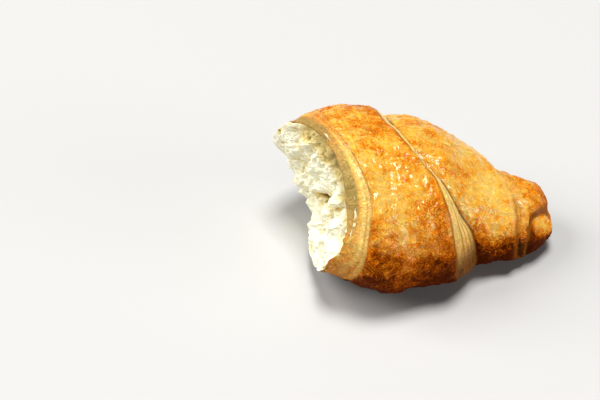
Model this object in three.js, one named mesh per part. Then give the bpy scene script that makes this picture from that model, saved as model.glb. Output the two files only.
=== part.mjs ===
// Half of a torn butter croissant, lying on its flat underside. Units mm, +Z up, +X from tear to tip.
import * as THREE from 'three';

const DEG = Math.PI / 180;

// Overall form: the bent centre line and the section along it
const SPINE_LENGTH = 87;          // centre line from the torn end to the tip
const SPINE_TURN = 34;            // degrees the centre line turns towards the near side
const SPINE_TURN_POWER = 1.3;     // the bend gathers towards the tip
const STATIONS = [-8, 0, 8, 18, 30, 44, 56, 68, 78, 86];
const HALF_WIDTH = [30, 32, 36.4, 38.4, 36.5, 33.2, 25.8, 18.6, 15, 10.2];
const RISE_RATIO = 0.745;         // height above the widest line, as a share of the half width
const DROP_RATIO = 0.53;          // depth below the widest line
const BASE_CUT = 1.2;             // how far the round underside is pressed flat
const TORN_LIFT = 9.5;            // the torn end curls up off the table
const TORN_UNDER_LIFT = 5.6;      // its underside curls up less, and so it hangs deeper there
const TORN_LIFT_REACH = 22;
const TIP_LIFT = 2.8;             // the tip stands clear of the table
const TIP_LIFT_FROM = 50;
const TIP_LIFT_TO = 80;
const TIP_ROUND = 8;              // rounding of the blunt tip
// Squareness of the section: powers of the cosine and sine of the angle, and how the torn end is rounder
const SIDE_POWER = 0.9;
const TOP_POWER = 0.95;
const UNDER_POWER = 0.68;
const TORN_ROUNDER_SIDE = 0.1;
const TORN_ROUNDER_UNDER = 0.3;
const TORN_ROUNDER_SPAN = [-2, 22];
const RELIEF_FADE = [1, 7];       // half widths over which all relief fades out at the tip

// The rolled sheet: one edge that winds from the tip to the tear. Angle grows over the top, away
// from the near side (0 near, 90 top, 180 far, 270 underside), position is along the centre line
const EDGE_ANGLE = [-60, -4, 40, 67, 91, 117, 180, 270, 353, 386, 405, 424, 432, 440, 450, 465, 540,
  600, 660];
const EDGE_AT = [77.5, 74.8, 74.5, 73, 69.3, 63.5, 58, 56, 49.6, 47, 43.8, 40.3, 37, 33.6, 30.6, 28.2,
  25.5, 20.5, 14];
const STEP_ANGLE = [-60, -4, 40, 91, 117, 180, 270, 353, 397, 426, 447, 481, 600, 660];
const EDGE_STEP = [0, 2.4, 2.8, 2.2, 1.8, 1.8, 2.2, 3.6, 4.2, 3.5, 3, 2.4, 1.8, 0];
// The fold that lies over the rolled core at the tip, by angle
const FOLD_ANGLE = [-60, -9, 12, 50, 59, 76, 117, 180, 300];
const FOLD_AT = [79.5, 78.6, 79.2, 79.3, 79.7, 81.8, 84.4, 82.5, 79.5];
const FOLD_STEP = 1.7;
const FOLD_FADE = [-60, -20, 250, 300];
// How wide the ends of the sheet's thin layers fan out past the edge, by the same winding angle
const BAND_ANGLE = [-60, 117, 270, 330, 353, 382, 404, 421, 432, 450, 540, 660];
const BAND_WIDTH = [0.8, 1, 1.8, 7, 9, 9, 6.2, 3.8, 3.4, 3.4, 2.4, 1];
const BAND_BULGE = 5;             // the wider the band in mm, the longer it stays level before it drops
// Section of every step, as shares of the step: a shoulder before it and a crease after it
const SHOULDER_SHARE = 0.75;
const SHOULDER_REACH = 9;
const SHOULDER_EDGE = 3.2;
const SHOULDER_EDGE_DROP = 0.45;
const CREASE_SHARE = 0.95;
const CREASE_REACH = 4.5;
// Slow swells of the risen dough
const SWELL_HEIGHT = 0.45;
const SWELL_ALONG = 0.23;         // radians per mm
const SWELL_TWIST = 0.11;
const SWELL_LOBES = 3;

// The line where the browned crust was stripped back towards the tear, and how deep it steps
const STRIP_ANGLE = [-60, -15, 9, 34, 50, 65, 84, 103, 136, 180, 225, 260, 300];
const STRIP_AT = [3, 6.8, 9.2, 12.2, 13.8, 12.8, 11, 9.4, 9.8, 10, 13, 8, 3];
const STRIP_DEPTH = 3.2;
const STRIP_CENTRE = 35;          // deepest on the near side
const STRIP_SPREAD = 58;
const STRIP_WALL_SHARE = 0.4;     // share of the depth gained at once; the rest slopes to the tear
const STRIP_SLOPE_LENGTH = 9;
const STRIP_SLOPE_POWER = 1.2;

// The tear: how far its rim stands along the centre line at each angle, and the torn crumb inside
const RIM_ANGLE = [-60, -30, -15, 1, 26, 46, 60, 78, 90, 112, 138, 168, 180, 200, 225, 242, 256, 264,
  280, 300];
const RIM_AT = [-3.4, -4.3, -4, 0.6, 4.8, 7.4, 8.1, 7.8, 6.2, 2.2, -2, -4.5, -2, 2.3, 6.2, 7.6, 5, 1.2,
  -2.8, -3.4];
const CRUMB_CENTRE = 3.5;         // the middle of the torn face, along the centre line
const CRUMB_RECESS = 4.5;         // the crumb sinks under the crust at the upper near rim
const RECESS_CENTRE = 62;
const RECESS_SPREAD = 50;
const RECESS_SPAN = [0.25, 0.8];  // share of the way to the rim where it is at its full depth
const CRAG_HEIGHT = 1.7;          // relief of the torn crumb
const CRAG_END = 0.86;

// Mesh density
const AROUND = 64;
const FACE_RINGS = 14;
const WALL = 0.35;                // half the width of the wall at a sheet's edge
// Rows of the mesh between the tear, the strip line, the two windings of the edge, the fold and the tip
const ROWS = [6, 25, 23, 5, 13];
const ROW_EVEN = 0.45;            // share of even spacing; the rest gathers the rows at both ends
const CHANGE_OVER = [236, 300];   // angles on the underside where rows pass to the next winding
const RING_POWER = 0.8;           // rings of the torn face gather towards its rim

// Smooth curve through the points (xs, ys) that never overshoots them
function curve(xs, ys) {
  const n = xs.length;
  const h = xs.slice(1).map((x, i) => x - xs[i]);
  const d = h.map((w, i) => (ys[i + 1] - ys[i]) / w);
  const m = xs.map((x, i) => {
    if (i === 0) return d[0];
    if (i === n - 1) return d[n - 2];
    if (d[i - 1] * d[i] <= 0) return 0;
    const a = 2 * h[i] + h[i - 1];
    const b = h[i] + 2 * h[i - 1];
    return (a + b) / (a / d[i - 1] + b / d[i]);
  });
  return (x) => {
    if (x <= xs[0]) return ys[0];
    if (x >= xs[n - 1]) return ys[n - 1];
    let i = 0;
    while (x > xs[i + 1]) i++;
    const t = (x - xs[i]) / h[i];
    const t2 = t * t;
    const t3 = t2 * t;
    return (2 * t3 - 3 * t2 + 1) * ys[i] + (t3 - 2 * t2 + t) * h[i] * m[i]
      + (3 * t2 - 2 * t3) * ys[i + 1] + (t3 - t2) * h[i] * m[i + 1];
  };
}

const halfWidth = curve(STATIONS, HALF_WIDTH);
const edgeAt = curve(EDGE_ANGLE, EDGE_AT);
const edgeStep = curve(STEP_ANGLE, EDGE_STEP);
const bandWidth = curve(BAND_ANGLE, BAND_WIDTH);
const foldAt = curve(FOLD_ANGLE, FOLD_AT);
const stripAt = curve(STRIP_ANGLE, STRIP_AT);
const rimAt = curve(RIM_ANGLE, RIM_AT);
const clamp01 = (v) => Math.min(1, Math.max(0, v));
const smooth = (a, b, v) => { const t = clamp01((v - a) / (b - a)); return t * t * (3 - 2 * t); };

// Centre line at distance s: plan position and heading
const SPINE_STEPS = 240;
const spineTable = [[0, 0]];
const heading = (s) => SPINE_TURN * DEG * Math.pow(clamp01(s / SPINE_LENGTH), SPINE_TURN_POWER);
for (let i = 0; i < SPINE_STEPS; i++) {
  const step = SPINE_LENGTH / SPINE_STEPS;
  const psi = heading((i + 0.5) * step);
  const [x, y] = spineTable[i];
  spineTable.push([x + Math.cos(psi) * step, y - Math.sin(psi) * step]);
}
function spine(s) {
  if (s <= 0) return [s, 0, 0];
  const u = Math.min(s, SPINE_LENGTH) / SPINE_LENGTH * SPINE_STEPS;
  const i = Math.min(SPINE_STEPS - 1, Math.floor(u));
  const f = u - i;
  const [a, b] = [spineTable[i], spineTable[i + 1]];
  return [a[0] + (b[0] - a[0]) * f, a[1] + (b[1] - a[1]) * f, heading(s)];
}

// Height of the surface over the plain form where the layers of the rolled sheet end: a rounded
// shoulder, a slope over the band of sheet ends, and a crease that fills out again
function layerStep(d, step, band) {
  const edge = 1 - SHOULDER_EDGE_DROP * Math.pow(clamp01(1 + d / SHOULDER_EDGE), 2);
  const shoulder = Math.exp(Math.min(0, d) / SHOULDER_REACH) * edge;
  const crease = -CREASE_SHARE * Math.exp(-Math.max(0, d - band) / CREASE_REACH);
  const wall = Math.pow(clamp01((d + WALL) / (band + 2 * WALL)), 1 + band / BAND_BULGE);
  return step * (SHOULDER_SHARE * (1 - wall) * shoulder + wall * crease);
}

// Angle folded into -60 to 300 degrees, so that the cut lies on the near lower side
const fold = (deg) => ((deg + 60) % 360 + 360) % 360 - 60;

function swell(s, deg) {
  const a = fold(deg);
  let h = 0;
  for (const phi of [a, a + 360]) h += layerStep(s - edgeAt(phi), edgeStep(phi), bandWidth(phi));
  const core = smooth(FOLD_FADE[0], FOLD_FADE[1], a) * smooth(FOLD_FADE[3], FOLD_FADE[2], a);
  h += layerStep(s - foldAt(a), FOLD_STEP * core, 0);
  const stripped = stripAt(a) - s;
  const depth = STRIP_DEPTH * Math.exp(-(((a - STRIP_CENTRE) / STRIP_SPREAD) ** 2));
  const slope = Math.pow(Math.max(0, stripped) / STRIP_SLOPE_LENGTH, STRIP_SLOPE_POWER);
  h -= depth * (STRIP_WALL_SHARE * smooth(-WALL, WALL, stripped) + (1 - STRIP_WALL_SHARE) * slope);
  const along = Math.sin(SWELL_ALONG * s + SWELL_LOBES * Math.sin(2 * a * DEG));
  return h + SWELL_HEIGHT * along * Math.sin(SWELL_LOBES * a * DEG + SWELL_TWIST * s);
}

// Distances of all rows at one angle. The rows run along the edges of the sheet, and change over to
// the next winding on the flat underside
function rowDistances(deg) {
  const a = fold(deg);
  const under = smooth(...CHANGE_OVER, a);
  const first = edgeAt(a + 360) + (edgeAt(a) - edgeAt(a + 360)) * under;
  const second = edgeAt(a) + (edgeAt(-60) - edgeAt(a)) * under;
  const firstBand = bandWidth(a + 360) + (bandWidth(a) - bandWidth(a + 360)) * under;
  const secondBand = Math.min(bandWidth(a), foldAt(a) - second - 1);
  const spans = [
    [rimAt(a), stripAt(a) - WALL],
    [stripAt(a) + WALL, first - WALL],
    [first + firstBand + WALL, second - WALL],
    [second + secondBand + WALL, foldAt(a) - WALL],
    [foldAt(a) + WALL, SPINE_LENGTH],
  ];
  const out = [];
  spans.forEach(([from, to], k) => {
    const toTip = k === spans.length - 1;
    for (let i = 0; i < ROWS[k]; i++) {
      const u = i / (toTip ? ROWS[k] : ROWS[k] - 1);
      const bunched = toTip ? Math.sin((u * Math.PI) / 2) : 0.5 - 0.5 * Math.cos(Math.PI * u);
      out.push(from + (to - from) * (ROW_EVEN * u + (1 - ROW_EVEN) * bunched));
    }
  });
  return out;
}

// A point of the crust at distance s and angle deg, drawn in to the centre line by share q
function crust(s, deg, q) {
  const th = deg * DEG;
  const c = Math.cos(th);
  const sn = Math.sin(th);
  const round = 1 - smooth(...TORN_ROUNDER_SPAN, s);
  const w0 = halfWidth(s);
  const cap = s > SPINE_LENGTH - TIP_ROUND
    ? Math.sqrt(Math.max(0, 1 - ((s - SPINE_LENGTH + TIP_ROUND) / TIP_ROUND) ** 2)) : 1;
  const over = swell(s, deg) * smooth(...RELIEF_FADE, w0 * cap);
  const drop = DROP_RATIO * w0;
  const sidePower = SIDE_POWER + TORN_ROUNDER_SIDE * round;
  const side = (w0 * cap + over) * Math.sign(c) * Math.pow(Math.abs(c), sidePower);
  const high = (RISE_RATIO * w0 * cap + over) * Math.pow(Math.abs(sn), TOP_POWER);
  const left = Math.max(0, 1 - s / TORN_LIFT_REACH);
  const tipLift = TIP_LIFT * smooth(TIP_LIFT_FROM, TIP_LIFT_TO, s);
  const base = TORN_UNDER_LIFT * Math.pow(left, 1.5) + tipLift;
  const mid = drop + TORN_LIFT * Math.pow(Math.min(1, left), 1.5) + tipLift;
  const underPower = UNDER_POWER + TORN_ROUNDER_UNDER * round;
  const low = -(mid - base + BASE_CUT) * cap * Math.pow(Math.abs(sn), underPower);
  const z = Math.max(mid + (sn > 0 ? high : low), base);
  const [x, y, psi] = spine(s);
  return [x - Math.sin(psi) * side * q, y - Math.cos(psi) * side * q, mid + (z - mid) * q];
}

// Relief of the torn crumb at a plan of the torn face, in share of the crag height
function crag(u, v) {
  return 0.5 * Math.sin(0.42 * u + 0.9 * Math.sin(0.21 * v)) * Math.cos(0.37 * v + 0.6 * Math.sin(0.3 * u))
    + 0.35 * Math.sin(0.61 * u - 0.47 * v) + 0.3 * Math.cos(0.23 * u + 0.71 * v);
}

function tornPoint(q, deg) {
  const rim = rimAt(fold(deg));
  const s = rim * q * q + CRUMB_CENTRE * (1 - q * q);
  const near = Math.exp(-(((fold(deg) - RECESS_CENTRE) / RECESS_SPREAD) ** 2));
  const lip = smooth(0, RECESS_SPAN[0], q) * smooth(1, RECESS_SPAN[1], q);
  const p = crust(s, deg, q);
  const sunk = CRUMB_RECESS * near * lip + CRAG_HEIGHT * crag(-p[1], p[2]) * smooth(1, CRAG_END, q);
  return [s + sunk, p[1], p[2]];
}

function buildBody() {
  const pos = [];
  const index = [];
  const rings = [];
  const addRing = (fn) => {
    const start = pos.length / 3;
    for (let j = 0; j < AROUND; j++) pos.push(...fn((360 * j) / AROUND));
    rings.push(start);
  };
  // torn face, from its middle out to the rim
  const poleFace = 0;
  pos.push(...tornPoint(0, 0));
  for (let i = 1; i < FACE_RINGS; i++) addRing((a) => tornPoint(Math.pow(i / FACE_RINGS, RING_POWER), a));
  // crust, from the rim to the tip
  const rows = Array.from({ length: AROUND }, (_, j) => rowDistances((360 * j) / AROUND));
  for (let i = 0; i < rows[0].length; i++) {
    addRing((a) => crust(rows[Math.round((a / 360) * AROUND)][i], a, 1));
  }
  const poleTip = pos.length / 3;
  pos.push(...crust(SPINE_LENGTH, 0, 0));
  for (let j = 0; j < AROUND; j++) {
    const k = (j + 1) % AROUND;
    index.push(poleFace, rings[0] + j, rings[0] + k);
    for (let i = 0; i + 1 < rings.length; i++) {
      const [a, b] = [rings[i], rings[i + 1]];
      index.push(a + j, b + j, b + k, a + j, b + k, a + k);
    }
    const last = rings[rings.length - 1];
    index.push(last + j, poleTip, last + k);
  }
  const g = new THREE.BufferGeometry();
  g.setAttribute('position', new THREE.Float32BufferAttribute(pos, 3));
  g.setIndex(index);
  return g;
}

function faceOutward(g) {
  const p = g.attributes.position;
  const ix = g.index.array;
  const [a, b, c] = [new THREE.Vector3(), new THREE.Vector3(), new THREE.Vector3()];
  let volume = 0;
  for (let i = 0; i < ix.length; i += 3) {
    a.fromBufferAttribute(p, ix[i]);
    b.fromBufferAttribute(p, ix[i + 1]);
    c.fromBufferAttribute(p, ix[i + 2]);
    volume += a.dot(b.cross(c)) / 6;
  }
  if (volume < 0) {
    for (let i = 0; i < ix.length; i += 3) [ix[i + 1], ix[i + 2]] = [ix[i + 2], ix[i + 1]];
  }
}

const body = buildBody();
faceOutward(body);
body.computeBoundingBox();
const box = body.boundingBox;
body.translate(-(box.min.x + box.max.x) / 2, -(box.min.y + box.max.y) / 2, -box.min.z);
body.computeVertexNormals();

const mesh = new THREE.Mesh(body, new THREE.MeshStandardMaterial({
  color: 0xd9963f, roughness: 0.55, metalness: 0,
}));
mesh.name = 'croissant_half';

const part = new THREE.Group();
part.name = 'torn_croissant_half';
part.add(mesh);
export default part;
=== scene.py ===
"""Half of a torn butter croissant: browned layered crust, laminated edges and open crumb."""
import math

import bpy
import numpy as np
from bpy.props import FloatProperty, FloatVectorProperty, PointerProperty
from mathutils import Matrix, Vector


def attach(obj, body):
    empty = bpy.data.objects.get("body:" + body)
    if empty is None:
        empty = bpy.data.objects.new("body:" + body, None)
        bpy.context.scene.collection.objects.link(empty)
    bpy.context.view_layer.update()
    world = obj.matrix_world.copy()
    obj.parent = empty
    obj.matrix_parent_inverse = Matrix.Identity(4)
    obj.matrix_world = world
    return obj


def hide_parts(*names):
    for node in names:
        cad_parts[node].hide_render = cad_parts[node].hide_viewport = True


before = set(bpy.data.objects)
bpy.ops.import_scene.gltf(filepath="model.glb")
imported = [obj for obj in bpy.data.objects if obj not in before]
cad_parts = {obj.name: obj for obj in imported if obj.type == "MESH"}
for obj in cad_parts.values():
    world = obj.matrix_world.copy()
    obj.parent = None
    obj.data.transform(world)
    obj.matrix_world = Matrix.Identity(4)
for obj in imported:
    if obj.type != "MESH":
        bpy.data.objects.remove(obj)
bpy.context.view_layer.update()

bl_info = {
    "name": "Torn Croissant Half",
    "version": (1, 0, 0),
    "blender": (4, 5, 0),
    "location": "3D View > Sidebar > Croissant",
    "description": "Builds the browned crust and the torn crumb of a croissant half over its solid",
    "category": "Object",
}

NODE = "croissant_half"
MM = 0.001

# Plain form, in mm and degrees, as in the solid
SPINE_LENGTH = 87.0
SPINE_TURN = math.radians(34)
SPINE_TURN_POWER = 1.3
SPINE_STEPS = 240
STATIONS = [-8, 0, 8, 18, 30, 44, 56, 68, 78, 86]
HALF_WIDTH = [30, 32, 36.4, 38.4, 36.5, 33.2, 25.8, 18.6, 15, 10.2]
RISE_RATIO = 0.745
DROP_RATIO = 0.53
BASE_CUT = 1.2
TORN_LIFT = 9.5
TORN_UNDER_LIFT = 5.6
TORN_LIFT_REACH = 22.0
TORN_LIFT_POWER = 1.5
TIP_LIFT = 2.8
TIP_LIFT_SPAN = (50.0, 80.0)
TIP_ROUND = 8.0
SIDE_POWER = 0.9
TOP_POWER = 0.95
UNDER_POWER = 0.68
TORN_ROUNDER_SIDE = 0.1
TORN_ROUNDER_UNDER = 0.3
TORN_ROUNDER_SPAN = (-2, 22)
RELIEF_FADE = (1, 7)
SWELL_HEIGHT = 0.45
SWELL_ALONG = 0.23
SWELL_TWIST = 0.11
SWELL_LOBES = 3

# The edge of the rolled sheet, wound from the tip to the tear
EDGE_ANGLE = [-60, -4, 40, 67, 91, 117, 180, 270, 353, 386, 405, 424, 432, 440, 450, 465, 540, 600, 660]
EDGE_AT = [77.5, 74.8, 74.5, 73, 69.3, 63.5, 58, 56, 49.6, 47, 43.8, 40.3, 37, 33.6, 30.6, 28.2, 25.5,
           20.5, 14]
STEP_ANGLE = [-60, -4, 40, 91, 117, 180, 270, 353, 397, 426, 447, 481, 600, 660]
EDGE_STEP = [0, 2.4, 2.8, 2.2, 1.8, 1.8, 2.2, 3.6, 4.2, 3.5, 3, 2.4, 1.8, 0]
BAND_ANGLE = [-60, 117, 270, 330, 353, 382, 404, 421, 432, 450, 540, 660]
BAND_WIDTH = [0.8, 1, 1.8, 7, 9, 9, 6.2, 3.8, 3.4, 3.4, 2.4, 1]
BAND_BULGE = 5.0
SHEET_SHARE = [0, 0.44, 0.63, 0.81, 1]  # where the single thin sheets of the band end, as shares of it
SHEET_EVEN = 0.35  # share of even slope along a thin sheet; the rest drops at its end
FOLD_ANGLE = [-60, -9, 12, 50, 59, 76, 117, 180, 300]
FOLD_AT = [79.5, 78.6, 79.2, 79.3, 79.7, 81.8, 84.4, 82.5, 79.5]
FOLD_STEP = 1.7
FOLD_IN, FOLD_OUT = (-60, -20), (250, 300)

# Section of every step of the sheet, as shares of the step and lengths in mm, as in the solid
WALL = 0.35
SHOULDER_SHARE = 0.75
SHOULDER_REACH = 9
SHOULDER_EDGE = 3.2
SHOULDER_EDGE_DROP = 0.45
CREASE_SHARE = 0.95
CREASE_REACH = 4.5

# The stripped band and the tear
STRIP_ANGLE = [-60, -15, 9, 34, 50, 65, 84, 103, 136, 180, 225, 260, 300]
STRIP_AT = [3, 6.8, 9.2, 12.2, 13.8, 12.8, 11, 9.4, 9.8, 10, 13, 8, 3]
STRIP_DEPTH = 3.2
STRIP_CENTRE = 35.0
STRIP_SPREAD = 58.0
STRIP_WALL_SHARE = 0.4
STRIP_SLOPE_LENGTH = 9
STRIP_SLOPE_POWER = 1.2
RIM_ANGLE = [-60, -30, -15, 1, 26, 46, 60, 78, 90, 112, 138, 168, 180, 200, 225, 242, 256, 264, 280,
             300]
RIM_AT = [-3.4, -4.3, -4, 0.6, 4.8, 7.4, 8.1, 7.8, 6.2, 2.2, -2, -4.5, -2, 2.3, 6.2, 7.6, 5, 1.2, -2.8,
          -3.4]
CRUMB_CENTRE = 3.5
CRUMB_RECESS = 4.5
RECESS_CENTRE = 62
RECESS_SPREAD = 50
RECESS_IN, RECESS_OUT = (0, 0.25), (0.8, 1)
CRAG_HEIGHT = 1.7
CRAG_END = 0.86

# The torn rim of the crust, in mm and degrees
RIM_JAG = 0.7
RIM_JAG_SIZE = 9.0
RIM_JAG_GRAINS = (4, 0.5)
RIM_RADIUS = 30
RIM_JAG_SEED, LIP_JAG_SEED = 5, 9
LIP_JAG_SHARE = 0.5
PEEL = 0.7
PEELS = ((1.7, 150, 30), (1.6, 262, 22))  # how much further it came away, at an angle, over a spread
OVERHANG = (1, 54, 45)
OVERHANG_REACH = 2.3
LIP = 0.06  # thickness of the lip, as a share of the way to the rim
LIP_LEAST = 0.3
LIP_BULGE = 0.35
LIP_BACK = 1.0
CURL = 0.05
CURL_REACH = 5.0
CURL_POWER = 1.5

# Rows of the meshes and points round them, in mm and degrees
OUTER_AROUND = 440
INNER_AROUND = 500
CRUMB_AROUND = 400
LIP_ROWS = 7
OUTER_ROWS = (36, 124, 52)  # from the tear to the strip line, to the first edge, over its band
TUCK_ROWS = 8
TUCK = 4.0  # the outer crust runs on this far below the inner one
TUCK_SINK = 0.06
INNER_START = 0.5  # the inner crust starts this far before the band's end
INNER_ROWS = (96, 14, 14, 5)  # to the second edge, over its band, to the fold, over the fold
TIP_ROWS = 62
TIP_END = 0.995
CRUMB_ROWS = 230
CRUMB_ROW_POWER = 0.8
SKIRT_ROWS = 14
SKIRT = 8.0  # the crumb runs on this far under the crust
ROW_EVEN = 0.45  # share of even spacing; the rest gathers the rows at both ends
CHANGE_OVER = (236, 300)  # angles on the underside where rows pass to the next winding
FOLD_GAP = 0.5
BOX_STEP = 2.5  # degrees and rows at which the plain form's box is measured
BOX_ROWS = 160

# How browned the crust is, with the painted shade that darkens it in places, from 0 pale to 1 dark, as
# values for rise, fall and hump
BROWN = 0.335
BROWN_BLOTCHES = ((0.13, 17, 21), (0.15, 5, 22), (0.09, 1.9, 23))  # share, size in mm, seed
BROWN_CALMER = (0.8, 0, 1)  # weaker blotches behind the strip line
BROWN_CREST = (0.09, -3, 4)
BROWN_SHOULDER = (0.12, -26, -4)
BROWN_PAST_FIRST = 0.03
BROWN_SECOND_CREST = (0.12, -1.5, 2.5)
BROWN_PAST_SECOND = 0.1
PAST_SECOND_IN, PAST_SECOND_OUT = (0, 1), (7, 5)
# Browner on the lower sides and at the base, with painted shade there as well
SIDES_BROWN_AND_SHADE = (0.70, -0.25, 0.6)  # by the sine of the angle
SIDES_BROWN_AND_SHADE_LESS = 0.2
SIDES_BROWN_AND_SHADE_REACH = 5
BASE_BROWN_AND_SHADE = (0.36, 1, 14)
BROWN_TIP = (0.28, 69, 81)
TIP_ANGLES = (30, 65)
BROWN_CORE = 0.08
# Browner low on the near side past the band, with painted shade there as well
NEAR_SIDE_BROWN_AND_SHADE = (0.30, 5, 52)
# Painted shade under the edge of the tip's fold
FOLD_SHADE = (0.25, 0.5, 1.6)
BROWN_STRIP_HIGH = 0.12
BROWN_STRIP_LOW = 0.44
# Painted shade on the rim of the stripped band and under the lip that hangs over it
STRIP_RIM_SHADE = (0.08, 0.55, 0.75)
OVERHANG_SHADE = (0.08, 0.6, 0.9)
BROWN_BAND = 0.04
BROWN_TOP = 0.06
# Painted shade on the curled lip
LIP_SHADE = 0.22

# Where the crust shows pale sheet ends, thin dough and creases, both with painted shade, and gloss,
# likewise
CORE_EASE = (-0.5, 0.5)
LOW_ANGLES, HIGH_ANGLES = (-8, 32), (72, 100)
BAND_START, BAND_END = 0.5, 0.4
BAND_STEP = (0.2, 0.6)
LINE_WIDTH = 0.15
LINE_BANDS = (1.5, 4)
THREADS = 2
THREAD_SHARE = 0.25
THREAD_BEND, THREAD_NOISE = 0.7, (7, 44)
SPECK, SPECK_NOISE = (0.2, -0.1, 0.4), (1.6, 45)
SPECK_SHEETS = (1.1, 0.9)
PALE_SECOND_IN, PALE_SECOND = (0.1, 1.5), (0.34, 3.5, 6)
PALE_CREST, CREST_ANGLES = (0.4, -1.6, 1), (10, 50)
PALE_HEIGHT = (0.1, 11, 28)
BARE = 0.45
BARE_STRIPS = ((1, 0.16, 0.1), (1, 0.48, 0.1))
BARE_STRIP_SHARE = 1.1
BARE_LOW_LESS, BARE_HIGH_LESS = 0.7, 0.85
BARE_IN, BARE_HEIGHT = (0, 0.8), (7, 22)
# Thin dough with painted shade, on the lip that hangs over and at the top of the tear
DOUGH_LIP = (0.85, 0.68, 0.95)
DOUGH_TOP, DOUGH_TOP_ANGLES = (0.8, 0.3, 0.85), (150, 125)
GROOVE_BAND_END = (1, 0.3, 0.6)
GROOVE_FIRST = (0.75, -0.25, 0.45)
GROOVE_STEP = (0.2, 0.7)
GROOVE_SECOND = (0.6, 0.4, 0.8)
GROOVE_PLEAT, PLEAT_IN, PLEAT_OUT = (0.35, 5.6, 0.5), (20, 50), (140, 110)
GROOVE_FOLD, GROOVE_FOLD_IN, GROOVE_FOLD_OUT = (1, 0.2, 0.6), (-40, 0), (118, 150)
GROOVE_STRIP = (0.35, 0.2, 0.5)
GROOVE_LINES = 0.65
GROOVE_TORN, GROOVE_TORN_IN = (0.3, 0.32, 0.05), (0, 0.5)
GLOSS_BROWN, GLOSS_PALE, GLOSS_SLOPE = 0.75, 0.3, 2.5
GLOSS_HEIGHT = (0.1, 8, 26)
GLOSS_LIP = (0.8, 0.5, 0.7)

# Fine relief of the crust: noises by size in mm and seed, and what is made of them
SLOW_NOISE, SLOW_SECOND, SLOW_SECOND_SHARE = (13, 31), (6, 32), 0.3
RING_TURNS, RING_NOISE, RING_SHOWN = 26, (11, 33), (0, 0.5)
RIPPLE_NOISE, RIPPLE_BEND = (3.8, 35, 3, 0.5), 0.8
WRINKLE_NOISE, WRINKLE_BEND, WRINKLE_LEVEL = (4.6, 34, 3, 0.55), 1.0, 0.7
BLISTERS = {"bend": 0.6, "bend_noise": (3, 38), "size": 2.5, "seed": 36, "edge": 0.62,
            "patch_noise": (7, 39), "patch": (-0.4, 0.2)}
RELIEF_CALMER = 0.85
DENT_NOISE, DENT_HEIGHT = (12, 41), (3, 20)
RELIEF_HEIGHT = (0.3, 3)

# Relief and shade of the torn crumb, in mm and shares of the way from its middle to the rim
CRUMB_INSET = 0.985
CRUMB_FLAT = (0.35, 1, 1)  # the noises are drawn out along the croissant
CLUMP_NOISE = (8.0, 61, 5, 0.62)
PITS = {"bend": 1.5, "bend_noise": (5, 64), "size": 4.4, "seed": 65, "edge": 0.34,
        "patch_noise": (9, 68), "patch": (-0.2, 0.2)}
SMALL_PITS = {"bend": 0.6, "bend_noise": (2, 69), "size": 2.1, "seed": 75, "edge": 0.36,
              "patch_noise": (7, 76), "patch": (-0.1, 0.2)}
SPOT_FLOOR = 0.1
WEB_WIDTH, WEB_SHARE = 0.2, 0.25
PIT_DEPTH, SMALL_PIT_DEPTH = 2.8, 1.6
CALM_RIM, CALM_LEAST = (0.8, 0.98), 0.25
RECESS_DEPTH, RECESS_RIM = 4.5, (0.66, 0.94)
MOUND, MOUND_IN, MOUND_OUT = (2.0, 70, 55), (0.1, 0.45), (0.62, 0.86)
CLEFT_HEIGHT = 25.6
CLEFT_SLOPE, CLEFT_BEND_AT, CLEFT_NOISE = 0.4, -2, (5, 72)
CLEFT_RIGHT, CLEFT_LEFT = (7, 3), (-18, -12)
CLEFT, CLEFT_DEPTH = (1, 0, 1.1), 2.6
LEDGE, LEDGE_HEIGHT = (1, 3, 2.2), 1.6
JAG_RIM = (0.7, 1)
SHADE, SHADE_RIM = (1, 74, 56), (0.45, 0.85)
# Painted shade of the crumb: in its deep parts, pits, cleft, under the lip and on the skirt
HOLLOW = 0.08
HOLLOW_DEPTH, HOLLOW_PITS, HOLLOW_SMALL, HOLLOW_SHADE, HOLLOW_CLEFT = 0.2, 0.35, 0.4, 0.9, 0.9
SKIRT_SINK, SKIRT_HOLLOW = 0.03, 0.35
SKIRT_NOISE, SKIRT_ROUGH = (4.0, 77, 3, 0.6), 0.7
SKIRT_PEEL, SKIRT_SHOWN = (0.8, 2.2), (0.25, 0.4)

# Materials: scales of the coarse, fine and cell grain per metre, depths in metres
CRUST_GRAIN = {"Coarse Scale": 260.0, "Fine Scale": 1100.0, "Cell Scale": 620.0}
CRUMB_GRAIN = {"Coarse Scale": 420.0, "Fine Scale": 1700.0, "Cell Scale": 900.0}
COARSE_LOOK, FINE_LOOK = (4.0, 0.6), (3.0, 0.2)
CELL_SMOOTHNESS = 0.35
MOTTLE_COARSE, MOTTLE_FINE = 0.65, 0.35
HEIGHT_COARSE, HEIGHT_CELLS = 0.6, 0.5
SWIRL = {"Ring Scale": 75.0, "Ring Count": 90.0, "Line Scale": 540.0}
RING_LOOK, LINE_LOOK = (1.0, 0.5), (2.0, 1.4)
SHOWN_SCALE, SHOWN_LOOK, SHOWN_SLOPE = 60.0, (1.0, 0.0), 7.0
LINE_SLOPE = 13.0
NOISE_MIDDLE, HEIGHT_MIDDLE = 0.5, 0.56
# Lines and rings of the painted glint flecks
FLECK_LINES, FLECK_RINGS = 0.9, 0.5
CRUST_STOPS, CRUMB_STOPS = (0.05, 0.3, 0.52, 0.76, 1.0), (0.1, 0.5, 1.0)
ROUGH_BY_HEAT, ROUGH_AT_MEAN = 0.35, 0.15
BUMP_HEIGHT = 0.5
CRUST_BUMP, CRUMB_BUMP = 0.00045, 0.0004
CRUMB_MOTTLE = 0.35
CRUST_SHADER = {"Coat Roughness": 0.13, "Specular IOR Level": 0.02, "Specular Tint": (1.0, 0.75, 0.35, 1),
                "Subsurface Weight": 0.4, "Subsurface Radius": (1.0, 0.4, 0.1), "Subsurface Scale": 0.002}
CRUMB_SHADER = {"Roughness": 0.75, "Subsurface Weight": 0.12, "Subsurface Radius": (1.0, 0.7, 0.4),
                "Subsurface Scale": 0.002}
FLOOR_SHADER = {"Base Color": (0.532, 0.526, 0.51, 1), "Roughness": 0.8}

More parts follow.
